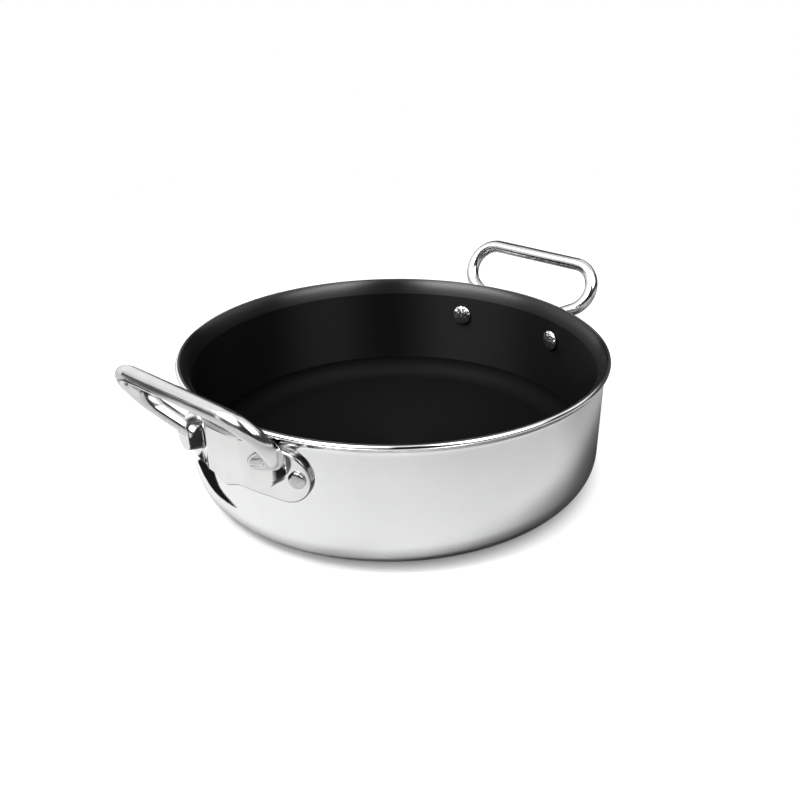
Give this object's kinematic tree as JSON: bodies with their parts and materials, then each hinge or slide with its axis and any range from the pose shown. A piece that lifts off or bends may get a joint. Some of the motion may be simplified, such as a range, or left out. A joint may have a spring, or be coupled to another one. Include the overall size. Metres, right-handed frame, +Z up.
{
  "type": "braiser",
  "caption": "Low, wide round braising pan with a flared pouring lip, a black non-stick lining and fixed tube loop handles on riveted brackets.",
  "frame": {"origin": "centre of the base's underside, on the axis of the pan", "axes": "+Z up along the axis of the pan, X through both handles, Y across them"},
  "size_m": [0.3504, 0.286, 0.116],
  "materials": {
    "polished_aluminium": "mirror polished",
    "nonstick": "satin black non-stick coat",
    "polished_steel": "mirror polished stainless steel",
    "rivet_metal": "bright, as set"
  },
  "bodies": {
    "root": {"pot_body": "polished_aluminium", "nonstick_lining": "nonstick", "right_bracket": "polished_steel", "right_handle_tube": "polished_steel", "right_rivet_1": "rivet_metal", "right_rivet_2": "rivet_metal", "left_bracket": "polished_steel", "left_handle_tube": "polished_steel", "left_rivet_1": "rivet_metal", "left_rivet_2": "rivet_metal"}
  },
  "joints": []
}
